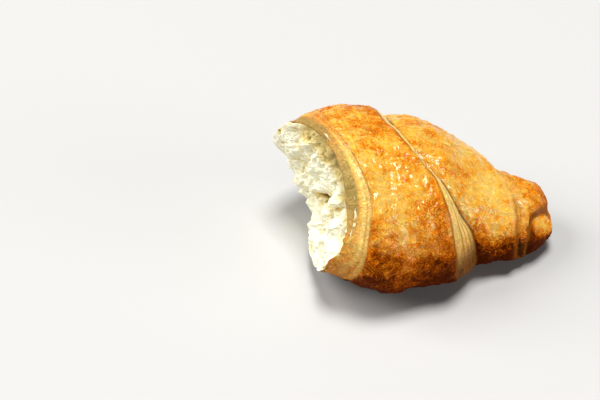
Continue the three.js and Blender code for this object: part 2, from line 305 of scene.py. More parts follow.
# Stage: lengths in metres, the look point in mm, the picture in pixels
FLOOR_SIDE = 3.0
SKY_COLOR = (1.0, 0.99, 0.97, 1)
LAMPS = {"key": (1.2, (0.18, 0.05, 3.20)), "fill": (2.6, (-2.60, 1.00, 2.30)),
         "front": (1.8, (2.40, -2.10, 0.50))}
LAMP_TARGET = Vector((-0.005, 0, 0.02))
LOOK_POINT = np.array([40.0, -5.0, 22.0])
PICTURE = (600, 400)
SENSOR = 36
CLIP = (0.01, 50)
AIM_TURNS, AIM_SHARE = 12, 0.9

GRADIENTS = np.array([(x, y, z) for x in (-1, 0, 1) for y in (-1, 0, 1) for z in (-1, 0, 1)
                      if abs(x) + abs(y) + abs(z) == 2], float)


def flowing(xs, ys):
    """Curve through the points (xs, ys) that never overshoots them: cubic spans, whose slope at a
    point is the weighted harmonic mean of the chords beside it, or zero at a turn."""
    xs, ys = np.array(xs, float), np.array(ys, float)
    h = np.diff(xs)
    d = np.diff(ys) / h
    left, right = 2 * h[1:] + h[:-1], h[1:] + 2 * h[:-1]
    same = d[:-1] * d[1:] > 0
    safe = np.where(same, d[:-1], 1), np.where(same, d[1:], 1)
    inner = np.where(same, (left + right) / (left / safe[0] + right / safe[1]), 0)
    slope = np.concatenate([[d[0]], inner, [d[-1]]])

    def at(x):
        x = np.clip(x, xs[0], xs[-1])
        i = np.clip(np.searchsorted(xs, x, side="right") - 1, 0, len(h) - 1)
        t = (x - xs[i]) / h[i]
        return ((2 * t**3 - 3 * t**2 + 1) * ys[i] + (t**3 - 2 * t**2 + t) * h[i] * slope[i]
                + (3 * t**2 - 2 * t**3) * ys[i + 1] + (t**3 - t**2) * h[i] * slope[i + 1])

    return at


half_width = flowing(STATIONS, HALF_WIDTH)
edge_at = flowing(EDGE_ANGLE, EDGE_AT)
edge_step = flowing(STEP_ANGLE, EDGE_STEP)
band_width = flowing(BAND_ANGLE, BAND_WIDTH)
fold_at = flowing(FOLD_ANGLE, FOLD_AT)
strip_at = flowing(STRIP_ANGLE, STRIP_AT)
rim_at = flowing(RIM_ANGLE, RIM_AT)


def ease(a, b, v):
    """Smooth step of v from 0 at a to 1 at b."""
    t = np.clip((v - a) / (b - a), 0, 1)
    return t * t * (3 - 2 * t)


def rise(v, share, start, end):
    """A share that eases in as v goes from start to end."""
    return share * ease(start, end, v)


def fall(v, share, start, end):
    """A share that eases out as v goes from start to end."""
    return share * (1 - ease(start, end, v))


def grow(v, least, start, end):
    """From the least share at start to 1 at end, eased."""
    return least + (1 - least) * ease(start, end, v)


def hump(v, share, centre, width):
    """A share at a centre of v, which falls off on both sides over the width as a bell curve."""
    return share * np.exp(-(((v - centre) / width) ** 2))


def wrap(deg):
    """Angle folded into -60 to 300 degrees."""
    return (deg + 60) % 360 - 60


def ring(around):
    """Angles of evenly spaced points round the body, in degrees."""
    return np.arange(around) * 360 / around


def scatter(cell, seed):
    """A repeatable random number from 0 to 1 for each whole-number cell, by mixing its bits."""
    h = (cell[..., 0] * 374761393 + cell[..., 1] * 668265263 + cell[..., 2] * 1440662683
         + seed * 1274126177) & 0xFFFFFFFF
    h = ((h ^ (h >> 13)) * 1274126177) & 0xFFFFFFFF
    h = ((h ^ (h >> 15)) * 1103515245) & 0xFFFFFFFF
    return ((h ^ (h >> 16)) & 0xFFFFFF) / 0x1000000


def drift(p, size, seed):
    """Smooth gradient noise, about -1 to 1: at each corner of a cube of the given size a random
    direction is dotted with the way to the point, and the eight are blended by a quintic ease."""
    q = p / size
    cell = np.floor(q).astype(np.int64)
    f = q - cell
    w = f * f * f * (f * (f * 6 - 15) + 10)
    total = 0
    for corner in np.ndindex(2, 2, 2):
        lean = GRADIENTS[(scatter(cell + corner, seed) * len(GRADIENTS)).astype(int)]
        weight = np.prod(np.where(np.array(corner) == 1, w, 1 - w), -1)
        total = total + weight * ((f - corner) * lean).sum(-1)
    return total * 1.5


def octaves(p, size, seed, count, fall_off):
    """Noise of several grains, each half the size of the last and a share of its height."""
    return sum(fall_off**i * drift(p, size / 2**i, seed + i) for i in range(count))


def cells(p, size, seed):
    """Distances to the nearest and second nearest of points scattered one to a cell, in cells."""
    q = p / size
    home = np.floor(q).astype(np.int64)
    first = np.full(q.shape[:-1], 9.0)
    second = first.copy()
    for offset in np.ndindex(3, 3, 3):
        cell = home + np.array(offset) - 1
        spot = cell + np.stack([scatter(cell, seed + k) for k in (0, 50, 90)], -1)
        far = np.linalg.norm(q - spot, axis=-1)
        second = np.minimum(second, np.maximum(first, far))
        first = np.minimum(first, far)
    return first, second


def spots(p, bend, bend_noise, size, seed, edge, patch_noise, patch):
    """Round spots, one to a cell of bent space, where a slow noise lets them show, as (spots, how far
    each point lies from the border between two cells)."""
    near, following = cells(p + bend * drift(p, *bend_noise)[..., None], size, seed)
    return ease(edge, SPOT_FLOOR, near) * ease(*patch, drift(p, *patch_noise)), following - near


def spine(s):
    """Plan place and heading of the centre line: its heading grows as a power of the distance."""
    mid = (np.arange(SPINE_STEPS) + 0.5) / SPINE_STEPS
    psi = SPINE_TURN * mid**SPINE_TURN_POWER
    step = SPINE_LENGTH / SPINE_STEPS
    x = np.concatenate([[0], np.cumsum(np.cos(psi))]) * step
    y = -np.concatenate([[0], np.cumsum(np.sin(psi))]) * step
    u = np.clip(s / SPINE_LENGTH, 0, 1)
    at = np.linspace(0, 1, SPINE_STEPS + 1)
    return np.interp(u, at, x) + np.minimum(s, 0), np.interp(u, at, y), SPINE_TURN * u**SPINE_TURN_POWER


def stairs(t):
    """Share t across the fanned band, held back on each thin sheet and then let go at its end."""
    place = np.interp(t, SHEET_SHARE, range(len(SHEET_SHARE)))
    k = np.minimum(np.floor(place), len(SHEET_SHARE) - 2)
    f = place - k
    held = k + SHEET_EVEN * f + (1 - SHEET_EVEN) * (1 - np.sqrt(np.clip(1 - f**3, 0, 1)))
    return np.interp(held, range(len(SHEET_SHARE)), SHEET_SHARE)


def layer_step(d, step, width, fanned=False):
    """Height over the plain form at signed distance d past a sheet's edge: a rounded shoulder, then
    the ends of the thin sheets as stairs over the band, then a crease that fills out again."""
    edge = 1 - SHOULDER_EDGE_DROP * np.clip(1 + d / SHOULDER_EDGE, 0, 1) ** 2
    shoulder = np.exp(np.minimum(d, 0) / SHOULDER_REACH) * edge
    crease = -CREASE_SHARE * np.exp(-np.maximum(d - width, 0) / CREASE_REACH)
    across = np.clip((d + WALL) / (width + 2 * WALL), 0, 1)
    wall = (stairs(across) if fanned else across) ** (1 + width / BAND_BULGE)
    top = SHOULDER_SHARE * np.where(d < 0, shoulder, 1 - SHOULDER_EDGE_DROP)
    low = np.where(d < width, -CREASE_SHARE, crease)
    return step * (top * (1 - wall) + low * wall)


def swell(s, a, fanned=False):
    """Sum of the steps at both windings of the edge and at the tip's fold, less the stripped band,
    plus the slow swells of the risen dough."""
    h = layer_step(s - edge_at(a), edge_step(a), band_width(a))
    h = h + layer_step(s - edge_at(a + 360), edge_step(a + 360), band_width(a + 360), fanned)
    core = ease(*FOLD_IN, a) * (1 - ease(*FOLD_OUT, a))
    h = h + layer_step(s - fold_at(a), FOLD_STEP * core, 0)
    bare = strip_at(a) - s
    slope = (np.maximum(bare, 0) / STRIP_SLOPE_LENGTH) ** STRIP_SLOPE_POWER
    sunk = STRIP_WALL_SHARE * ease(-WALL, WALL, bare) + (1 - STRIP_WALL_SHARE) * slope
    h = h - hump(a, STRIP_DEPTH, STRIP_CENTRE, STRIP_SPREAD) * sunk
    turn = np.radians(a)
    along = np.sin(SWELL_ALONG * s + SWELL_LOBES * np.sin(2 * turn))
    return h + SWELL_HEIGHT * along * np.sin(SWELL_LOBES * turn + SWELL_TWIST * s)


def crust(s, deg, q=1.0, fanned=False):
    """Point of the crust at distance s and angle deg, in mm: a squashed round section, pressed flat
    below, carried along the bent centre line and drawn in to it by share q."""
    turn = np.radians(deg)
    level, up = np.cos(turn), np.sin(turn)
    rounder = 1 - ease(*TORN_ROUNDER_SPAN, s)
    wide = half_width(s)
    cap = np.sqrt(np.maximum(0, 1 - (np.maximum(s - SPINE_LENGTH + TIP_ROUND, 0) / TIP_ROUND) ** 2))
    over = swell(s, wrap(deg), fanned) * ease(*RELIEF_FADE, wide * cap)
    side_power = SIDE_POWER + TORN_ROUNDER_SIDE * rounder
    side = (wide * cap + over) * np.sign(level) * np.abs(level) ** side_power
    high = (RISE_RATIO * wide * cap + over) * np.abs(up) ** TOP_POWER
    left = np.maximum(0, 1 - s / TORN_LIFT_REACH)
    tip_lift = rise(s, TIP_LIFT, *TIP_LIFT_SPAN)
    base = TORN_UNDER_LIFT * left**TORN_LIFT_POWER + tip_lift
    mid = DROP_RATIO * wide + TORN_LIFT * np.minimum(1, left) ** TORN_LIFT_POWER + tip_lift
    under_power = UNDER_POWER + TORN_ROUNDER_UNDER * rounder
    low = -(mid - base + BASE_CUT) * cap * np.abs(up) ** under_power
    z = np.maximum(mid + np.where(up > 0, high, low), base)
    x, y, psi = spine(s)
    return np.stack([x - np.sin(psi) * side * q, y - np.cos(psi) * side * q, mid + (z - mid) * q], -1)


def crag(u, v):
    """Coarse relief of the torn face: crossed waves, each a share times waves of so many radians per
    mm in both directions, the first one bent by slower waves."""
    bent = np.sin(0.42 * u + 0.9 * np.sin(0.21 * v)) * np.cos(0.37 * v + 0.6 * np.sin(0.3 * u))
    return 0.5 * bent + 0.35 * np.sin(0.61 * u - 0.47 * v) + 0.3 * np.cos(0.23 * u + 0.71 * v)


def torn(q, deg):
    """Point of the torn face at share q from its middle to the rim, in mm."""
    a = wrap(deg)
    s = rim_at(a) * q * q + CRUMB_CENTRE * (1 - q * q)
    lip = ease(*RECESS_IN, q) * (1 - ease(*RECESS_OUT, q))
    p = crust(s, deg, q)
    craggy = CRAG_HEIGHT * crag(-p[..., 1], p[..., 2]) * (1 - ease(CRAG_END, 1, q))
    sunk = hump(a, CRUMB_RECESS, RECESS_CENTRE, RECESS_SPREAD) * lip + craggy
    return np.stack([s + sunk, p[..., 1], p[..., 2]], -1)


def form_shift():
    """What moves the plain form onto the solid: its box is centred in plan and stands on zero."""
    a = np.arange(0, 360, BOX_STEP)
    rim = rim_at(wrap(a))
    s = rim + (SPINE_LENGTH - rim) * np.linspace(0, 1, BOX_ROWS)[:, None]
    p = crust(s, np.broadcast_to(a, s.shape))
    low, high = p.reshape(-1, 3).min(0), p.reshape(-1, 3).max(0)
    return np.array([-(low[0] + high[0]) / 2, -(low[1] + high[1]) / 2, -low[2]])


SHIFT = form_shift()


def outward(grid):
    """Unit normals of a grid that closes in its second direction, from its two directions' cross
    product, which points away from the body."""
    along = np.gradient(grid, axis=0)
    around = np.roll(grid, -1, 1) - np.roll(grid, 1, 1)
    n = np.cross(along, around)
    n /= np.linalg.norm(n, axis=-1, keepdims=True) + 1e-9
    return n


def closed_faces(rows, around):
    """Quads of a grid that closes on itself in its second direction."""
    i, j = np.meshgrid(np.arange(rows - 1), np.arange(around), indexing="ij")
    k = (j + 1) % around
    return np.stack([i * around + j, (i + 1) * around + j, (i + 1) * around + k, i * around + k],
                    -1).reshape(-1, 4)


def make_piece(name, grid, material, masks, pole=None, pole_first=False):
    """Mesh object from a closed grid in mm, with a fan to a pole point at its last or first row."""
    rows, around = grid.shape[:2]
    verts = (grid.reshape(-1, 3) + SHIFT) * MM
    faces = [closed_faces(rows, around)]
    if pole is not None:
        verts = np.concatenate([verts, [(pole + SHIFT) * MM]])
        j = np.arange(around)
        base = 0 if pole_first else (rows - 1) * around
        after = base + (j + 1) % around
        here = base + j
        tip = np.full(around, rows * around)
        faces.append(np.stack([here, after, tip] if pole_first else [after, here, tip], -1))
    mesh = bpy.data.meshes.new(name)
    loops = np.concatenate([f.ravel() for f in faces]).astype(np.int32)
    sizes = np.concatenate([np.full(len(f), f.shape[1]) for f in faces])
    starts = np.concatenate([[0], np.cumsum(sizes)[:-1]]).astype(np.int32)
    mesh.vertices.add(len(verts))
    mesh.vertices.foreach_set("co", verts.astype(np.float32).ravel())
    mesh.loops.add(len(loops))
    mesh.loops.foreach_set("vertex_index", loops)
    mesh.polygons.add(len(starts))
    mesh.polygons.foreach_set("loop_start", starts)
    mesh.update(calc_edges=True)
    mesh.validate()
    mesh.shade_smooth()
    for mask, values in masks.items():
        values = values.ravel()
        if pole is not None:
            row = values[:around] if pole_first else values[-around:]
            values = np.append(values, row.mean())
        layer = mesh.attributes.new(mask, "FLOAT", "POINT")
        layer.data.foreach_set("value", values.astype(np.float32))
    mesh.materials.append(material)
    obj = bpy.data.objects.new(name, mesh)
    bpy.context.scene.collection.objects.link(obj)
    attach(obj, "root")
    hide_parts(NODE)
    return obj


def span(start, end, count, last=False):
    """Rows from one line to the next, closer together beside both lines."""
    u = np.arange(count) / (count - 1 if last else count)
    u = ROW_EVEN * u + (1 - ROW_EVEN) * (0.5 - 0.5 * np.cos(np.pi * u))
    return start + (end - start) * u[:, None]


def spans(lines, counts):
    """Rows of all the spans between lines that follow one another."""
    return np.concatenate([span(*each) for each in zip(lines, lines[1:], counts)])


def marks(deg):
    """Distances of the tear, the strip line, the windings of the edge, their bands and the fold at
    each angle. On the flat underside a winding changes over to the next."""
    a = wrap(deg)
    under = ease(*CHANGE_OVER, a)

    def over_under(f):
        return f(a + 360) + (f(a) - f(a + 360)) * under

    first, first_band = over_under(edge_at), over_under(band_width)
    second = edge_at(a) + (EDGE_AT[0] - edge_at(a)) * under
    second_band = band_width(a) + (BAND_WIDTH[0] - band_width(a)) * under
    second_end = np.minimum(second + second_band, fold_at(a) - FOLD_GAP)
    return {"rim": rim_at(a), "strip": strip_at(a), "first": first, "first_end": first + first_band,
            "second": second, "second_end": second_end, "fold": fold_at(a)}


def rim_jag(deg, seed=RIM_JAG_SEED):
    """Small ragged run of the torn rim, in mm along the centre line: noise along a circle."""
    turn = np.radians(deg)
    circle = np.stack([np.cos(turn) * RIM_RADIUS, np.sin(turn) * RIM_RADIUS, np.zeros_like(turn)], -1)
    return RIM_JAG * octaves(circle, RIM_JAG_SIZE, seed, *RIM_JAG_GRAINS)


def overhang(deg):
    """Share by which the crust's lip hangs over the crumb: most at its upper right side."""
    return hump(wrap(deg), *OVERHANG)


def peel(deg):
    """How far the crust's own rim stands back from the crumb's, in mm: most where it came away, and
    less than nothing where its lip hangs over the crumb."""
    away = sum(hump(wrap(deg), *each) for each in PEELS)
    return PEEL + away - OVERHANG_REACH * overhang(deg)


class Place:
    """Where points of the crust lie: mm past each line of the sheet, and shares across its bands."""

    def __init__(self, s, a, p):
        self.s, self.a, self.p, self.height = s, a, p, p[..., 2]
        self.first, self.second = s - edge_at(a + 360), s - edge_at(a)
        self.fold, self.behind = s - fold_at(a), strip_at(a) - s
        self.core = ease(*CORE_EASE, self.fold)
        self.across = self.behind / (strip_at(a) - rim_at(a) - PEEL)
        self.low, self.high = 1 - ease(*LOW_ANGLES, a), ease(*HIGH_ANGLES, a)
        self.over = overhang(a)
        self.band, self.step = band_width(a + 360), edge_step(a + 360) / max(EDGE_STEP)
        on_band = 1 - ease(self.band - BAND_END, self.band + BAND_END, self.first)
        self.ribs = ease(-WALL, BAND_START, self.first) * on_band * ease(*BAND_STEP, self.step)
        share = np.clip((self.first + WALL) / (self.band + 2 * WALL), 0, 1)
        self.sheet = np.interp(share, SHEET_SHARE, range(len(SHEET_SHARE)))


def browning_and_shade(at):
    """How browned the crust is, with painted shade: blotches, crests before the edges, the sides and the
    base (browner, with painted shade), the tip, the fold and its core (painted shade under the fold's
    edge), the stripped band and the lip (painted shade on its rim and under the overhang)."""
    blotches = sum(share * drift(at.p, size, seed) for share, size, seed in BROWN_BLOTCHES)
    bake = BROWN + blotches * (1 - rise(at.behind, *BROWN_CALMER))
    bake += hump(at.first, *BROWN_CREST) * at.step
    bake += rise(at.first, *BROWN_SHOULDER) * (at.first < 0) + BROWN_PAST_FIRST * (at.first > 0)
    bake += hump(at.second, *BROWN_SECOND_CREST)
    # Browner on the lower sides and at the base, with painted shade there as well
    lobe = 1 - rise(at.first, SIDES_BROWN_AND_SHADE_LESS, at.band, at.band + SIDES_BROWN_AND_SHADE_REACH)
    bake += fall(np.sin(np.radians(at.a)), *SIDES_BROWN_AND_SHADE) * lobe + fall(at.height, *BASE_BROWN_AND_SHADE)
    bake += rise(at.s, *BROWN_TIP) * ease(*TIP_ANGLES, at.a) * (1 - at.core) + BROWN_CORE * at.core
    # Browner low on the near side past the band, with painted shade as well; painted shade under the fold's
    # edge
    bake += fall(at.a, *NEAR_SIDE_BROWN_AND_SHADE) * (at.first > 0) + hump(at.fold, *FOLD_SHADE)
    bake += ease(0, 1, at.behind) * (BROWN_STRIP_HIGH * at.high - BROWN_STRIP_LOW * at.low)
    # Painted shade on the rim of the stripped band and under the lip that hangs over it
    bake += rise(at.across, *STRIP_RIM_SHADE) * (1 - at.low) + rise(at.across, *OVERHANG_SHADE) * at.over
    bake += BROWN_TOP * at.high * (at.first < 0) - BROWN_BAND * at.ribs
    bake += BROWN_PAST_SECOND * ease(*PAST_SECOND_IN, at.second) * ease(*PAST_SECOND_OUT, at.second)
    return bake


def paleness(at):
    """How far pale sheet ends show: threads and specks on the fanned band, the zone and crest at the
    second edge, and the stripped band, all less near the base."""
    bend = THREAD_BEND * drift(at.p, *THREAD_NOISE)
    threads = 0.5 + 0.5 * np.sin(2 * np.pi * (THREADS * at.sheet + bend))
    speck = rise(drift(at.p, *SPECK_NOISE), *SPECK) * ease(*SPECK_SHEETS, at.sheet)
    zone = ease(*PALE_SECOND_IN, at.second) * fall(at.second, *PALE_SECOND) * (1 - at.core)
    crest = hump(at.second, *PALE_CREST) * ease(*CREST_ANGLES, at.a)
    ends = np.clip(at.ribs * (1 - THREAD_SHARE + THREAD_SHARE * threads - speck) + zone + crest, 0, 1)
    strips = sum(hump(at.across, *each) for each in BARE_STRIPS)
    less = 1 - BARE_LOW_LESS * at.low - BARE_HIGH_LESS * at.high
    bare = np.clip(ease(*BARE_IN, at.behind) * (BARE + BARE_STRIP_SHARE * strips) * less, 0, 1)
    return ends * grow(at.height, *PALE_HEIGHT) + bare * ease(*BARE_HEIGHT, at.height)


def lip_dough_and_shade(at):
    """Where thin unbaked dough shows, with painted shade on it: on the lip that hangs over, and at the
    top of the tear.
    """
    lip = rise(at.across, *DOUGH_LIP) * at.over * (1 - at.low)
    return np.maximum(lip, rise(at.across, *DOUGH_TOP) * at.high * ease(*DOUGH_TOP_ANGLES, at.a))


def crease_shading(at):
    """Painted shade in the creases, with the darker lines between the layers: at both ends of the fanned
    band and between its sheets, at the second edge and the pleat after it, at the fold, and along and
    within the stripped band."""
    groove = hump(at.first - at.band, *GROOVE_BAND_END) + hump(at.first, *GROOVE_FIRST)
    groove = groove * ease(*GROOVE_STEP, at.step) + hump(at.second, *GROOVE_SECOND)
    groove += hump(at.second, *GROOVE_PLEAT) * ease(*PLEAT_IN, at.a) * ease(*PLEAT_OUT, at.a)
    groove += hump(at.fold, *GROOVE_FOLD) * ease(*GROOVE_FOLD_IN, at.a) * (1 - ease(*GROOVE_FOLD_OUT, at.a))
    lines = hump(at.sheet - np.round(at.sheet), 1, 0, LINE_WIDTH) * at.ribs * ease(*LINE_BANDS, at.band)
    groove += hump(at.behind, *GROOVE_STRIP) + lines * GROOVE_LINES
    groove += hump(at.across, *GROOVE_TORN) * ease(*GROOVE_TORN_IN, at.behind)
    return np.clip(groove, 0, 1)


def crust_masks(s, a, p):
    """How browned, pale, creased, doughy or glossy the crust is at each point, by where it lies; the
    browned parts, creases and doughy lip carry painted shade. The glaze shines where the crust is neither
    dark nor pale, and higher up."""
    at = Place(s, a, p)
    bake, pale = browning_and_shade(at), paleness(at)
    gloss = np.clip((GLOSS_BROWN - bake - GLOSS_PALE * pale) * GLOSS_SLOPE, 0, 1)
    gloss = gloss * grow(at.height, *GLOSS_HEIGHT) * (1 - rise(at.across, *GLOSS_LIP) * at.over)
    return {"bake": bake, "pale": pale, "groove": crease_shading(at), "dough": lip_dough_and_shade(at), "gloss": gloss}


def crust_relief(p, masks, sizes):
    """Fine height of the crust in mm: soft ripples, nested rings along the contour lines of a slow
    noise, a few ridged wrinkles, and small round blisters where a slow mask lets them rise."""
    slow = drift(p, *SLOW_NOISE) + SLOW_SECOND_SHARE * drift(p, *SLOW_SECOND)
    rings = np.sin(slow * RING_TURNS) * ease(*RING_SHOWN, drift(p, *RING_NOISE))
    ripple = octaves(p + RIPPLE_BEND * slow[..., None], *RIPPLE_NOISE)
    wrinkle = 1 - np.abs(octaves(p + WRINKLE_BEND * slow[..., None], *WRINKLE_NOISE))
    bumps, _ = spots(p, **BLISTERS)
    plain = 1 - RELIEF_CALMER * np.clip(masks["pale"] + masks["groove"], 0, 1)
    fine = (sizes.ring * rings + sizes.ripple * ripple + sizes.wrinkle * (wrinkle - WRINKLE_LEVEL)
            + sizes.blister * bumps)
    dents = sizes.dent * drift(p, *DENT_NOISE) * ease(*DENT_HEIGHT, p[..., 2])
    return (fine * plain + dents) * ease(*RELIEF_HEIGHT, p[..., 2])


def crumb_relief(grid, deg, q, height):
    """Depth of the torn crumb in mm along the croissant and the painted shade of its hollows, as (depth,
    hollow shade): clumps of several grains with thin webs between cells, large and small pits, a deeper
    recess under the lip, a mound above the middle, and a bent cleft with a ledge over it."""
    flat = grid * CRUMB_FLAT
    y, z = grid[..., 1], grid[..., 2]
    pits, border = spots(flat, **PITS)
    small, _ = spots(flat, **SMALL_PITS)
    webs = ease(WEB_WIDTH, 0, border)
    clump = octaves(flat, *CLUMP_NOISE) + WEB_SHARE * webs
    depth = -height * clump + PIT_DEPTH * pits + SMALL_PIT_DEPTH * small
    over = z - CLEFT_HEIGHT - CLEFT_SLOPE * np.maximum(0, CLEFT_BEND_AT - y) - drift(flat, *CLEFT_NOISE)
    within = ease(*CLEFT_RIGHT, y) * ease(*CLEFT_LEFT, y)
    cleft, ledge = hump(over, *CLEFT) * within, hump(over, *LEDGE) * within
    mound = hump(wrap(deg), *MOUND) * ease(*MOUND_IN, q) * (1 - ease(*MOUND_OUT, q))
    recess = overhang(deg) * ease(*RECESS_RIM, q)
    calm = CALM_LEAST + (1 - CALM_LEAST) * (1 - ease(*CALM_RIM, q))
    total = (depth * calm + RECESS_DEPTH * recess - mound + CLEFT_DEPTH * cleft - LEDGE_HEIGHT * ledge
             + rim_jag(deg) * ease(*JAG_RIM, q))
    shade = hump(wrap(deg), *SHADE) * ease(*SHADE_RIM, q)
    hollow = (HOLLOW + HOLLOW_DEPTH * depth + HOLLOW_PITS * pits + HOLLOW_SMALL * small
              + HOLLOW_SHADE * shade + HOLLOW_CLEFT * cleft)
    return total, np.clip(hollow, 0, 1)


def crumb_skirt(deg):
    """Rows of the crumb that run on under the crust, rough where the crust stands back from them."""
    under = np.linspace(0, 1, SKIRT_ROWS)[1:, None]
    deg = np.broadcast_to(deg, (SKIRT_ROWS - 1, CRUMB_AROUND))
    rim = rim_at(wrap(deg)) + rim_jag(deg)
    skirt = crust(rim + SKIRT * under, deg, CRUMB_INSET - SKIRT_SINK * under)
    shown = ease(*SKIRT_PEEL, peel(deg)) * (1 - ease(*SKIRT_SHOWN, under))
    rough = SKIRT_ROUGH * octaves(skirt, *SKIRT_NOISE) * shown
    return skirt + outward(skirt) * rough[..., None]


def srgb(r, g, b):
    """Linear colour of an sRGB one in 0 to 255."""
    def lin(v):
        v /= 255
        return v / 12.92 if v <= 0.04045 else ((v + 0.055) / 1.055) ** 2.4
    return (lin(r), lin(g), lin(b))


def tone(name, description, r, g, b):
    """A colour that a user can change, whose default is an sRGB one."""
    return FloatVectorProperty(name=name, description=description, subtype="COLOR", default=srgb(r, g, b))


def amount(name, description, default, **kind):
    """A number that a user can change, with its unit or subtype where one fits."""
    return FloatProperty(name=name, description=description, default=default, **kind)


def new_material(name, constants):
    """A node material whose Principled shader has the given constants, as (material, tree, shader)."""
    mat = bpy.data.materials.new(name)
    mat.use_nodes = True
    tree = mat.node_tree
    shader = tree.nodes["Principled BSDF"]
    for label, value in constants.items():
        shader.inputs[label].default_value = value
    return mat, tree, shader


def feed(tree, value, socket):
    """Gives an input socket what it reads: another socket, a number or a colour."""
    if isinstance(value, bpy.types.NodeSocket):
        tree.links.new(value, socket)
    elif isinstance(value, (int, float)):
        socket.default_value = value
    else:
        socket.default_value = (*value[:3], 1)


def math_node(tree, kind, a, b=0.0):
    """A Math node on two sockets or numbers."""
    node = tree.nodes.new("ShaderNodeMath")
    node.operation = kind
    feed(tree, a, node.inputs[0])
    feed(tree, b, node.inputs[1])
    return node.outputs[0]


def plus(tree, a, b):
    """Their sum, as a socket."""
    return math_node(tree, "ADD", a, b)


def minus(tree, a, b):
    """The first less the second, as a socket."""
    return math_node(tree, "SUBTRACT", a, b)


def times(tree, a, b):
    """Their product, as a socket."""
    return math_node(tree, "MULTIPLY", a, b)


def mix_color(tree, factor, a, b):
    """A Mix node of two colours, each a socket or a colour."""
    node = tree.nodes.new("ShaderNodeMix")
    node.data_type = "RGBA"
    feed(tree, factor, node.inputs["Factor"])
    feed(tree, a, node.inputs[6])
    feed(tree, b, node.inputs[7])
    return node.outputs[2]


def new_group(name, inputs, outputs):
    """An empty group of number sockets, as (group, its inputs, its outputs, its Object coordinates)."""
    group = bpy.data.node_groups.new(name, "ShaderNodeTree")
    for label, value in inputs.items():
        socket = group.interface.new_socket(label, in_out="INPUT", socket_type="NodeSocketFloat")
        socket.default_value = value
    for label in outputs:
        group.interface.new_socket(label, in_out="OUTPUT", socket_type="NodeSocketFloat")
    enter = group.nodes.new("NodeGroupInput")
    leave = group.nodes.new("NodeGroupOutput")
    coords = group.nodes.new("ShaderNodeTexCoord")
    return group, enter.outputs, leave.inputs, coords.outputs["Object"]


def noise_node(group, coords, scale, detail, warp):
    """The value of a Noise texture on the coordinates."""
    node = group.nodes.new("ShaderNodeTexNoise")
    node.inputs["Detail"].default_value = detail
    node.inputs["Distortion"].default_value = warp
    feed(group, coords, node.inputs["Vector"])
    feed(group, scale, node.inputs["Scale"])
    return node.outputs["Fac"]


def speckle_group():
    """Node group: mottling of two grains, and a fine height that sinks between small cells."""
    found = bpy.data.node_groups.get("baked_speckle")
    if found:
        return found
    group, enter, leave, coords = new_group("baked_speckle", CRUST_GRAIN, ("Mottle", "Height"))
    coarse = noise_node(group, coords, enter["Coarse Scale"], *COARSE_LOOK)
    fine = noise_node(group, coords, enter["Fine Scale"], *FINE_LOOK)
    patch = group.nodes.new("ShaderNodeTexVoronoi")
    patch.feature = "SMOOTH_F1"
    patch.inputs["Smoothness"].default_value = CELL_SMOOTHNESS
    feed(group, coords, patch.inputs["Vector"])
    feed(group, enter["Cell Scale"], patch.inputs["Scale"])
    mottle = plus(group, times(group, coarse, MOTTLE_COARSE), times(group, fine, MOTTLE_FINE))
    feed(group, mottle, leave["Mottle"])
    grain = plus(group, times(group, coarse, HEIGHT_COARSE), fine)
    sunk = times(group, patch.outputs["Distance"], HEIGHT_CELLS)
    feed(group, minus(group, grain, sunk), leave["Height"])
    return group


def swirl_group():
    """Node group: nested rings along the contours of a slow noise, where a second noise lets them
    show, and thin winding lines where a fine noise crosses its middle value. They make the crust's
    painted glints and part of its bumps."""
    found = bpy.data.node_groups.get("baked_swirl")
    if found:
        return found
    group, enter, leave, coords = new_group("baked_swirl", SWIRL, ("Rings", "Lines"))
    slow = times(group, noise_node(group, coords, enter["Ring Scale"], *RING_LOOK), enter["Ring Count"])
    wave = plus(group, times(group, math_node(group, "SINE", slow), 0.5), 0.5)
    patch = minus(group, noise_node(group, coords, SHOWN_SCALE, *SHOWN_LOOK), NOISE_MIDDLE)
    shown = times(group, patch, SHOWN_SLOPE)
    shown.node.use_clamp = True
    feed(group, times(group, wave, shown), leave["Rings"])
    fine = noise_node(group, coords, enter["Line Scale"], *LINE_LOOK)
    off = math_node(group, "ABSOLUTE", minus(group, fine, NOISE_MIDDLE))
    line = minus(group, 1.0, times(group, off, LINE_SLOPE))
    line.node.use_clamp = True
    feed(group, line, leave["Lines"])
    return group


def use_group(tree, group, values, outputs):
    """A node of a group with the given values, as the list of its named outputs."""
    node = tree.nodes.new("ShaderNodeGroup")
    node.node_tree = group
    for label, value in values.items():
        node.inputs[label].default_value = value
    return [node.outputs[label] for label in outputs]


def attribute(tree, name):
    """The value of a painted mask."""
    node = tree.nodes.new("ShaderNodeAttribute")
    node.attribute_name = name
    return node.outputs["Fac"]


def bump(tree, shader, height, distance):
    """A Bump node between a height and the shader's normal."""
    node = tree.nodes.new("ShaderNodeBump")
    node.inputs["Distance"].default_value = distance
    feed(tree, height, node.inputs["Height"])
    feed(tree, node.outputs["Normal"], shader.inputs["Normal"])


def ramp(tree, factor, stops):
    """A colour ramp of (place, colour) stops."""
    node = tree.nodes.new("ShaderNodeValToRGB")
    feed(tree, factor, node.inputs["Fac"])
    band = node.color_ramp.elements
    while len(band) < len(stops):
        band.new(0.5)
    for element, (place, color) in zip(band, stops):
        element.position = place
        element.color = (*color[:3], 1)
    return node.outputs["Color"]


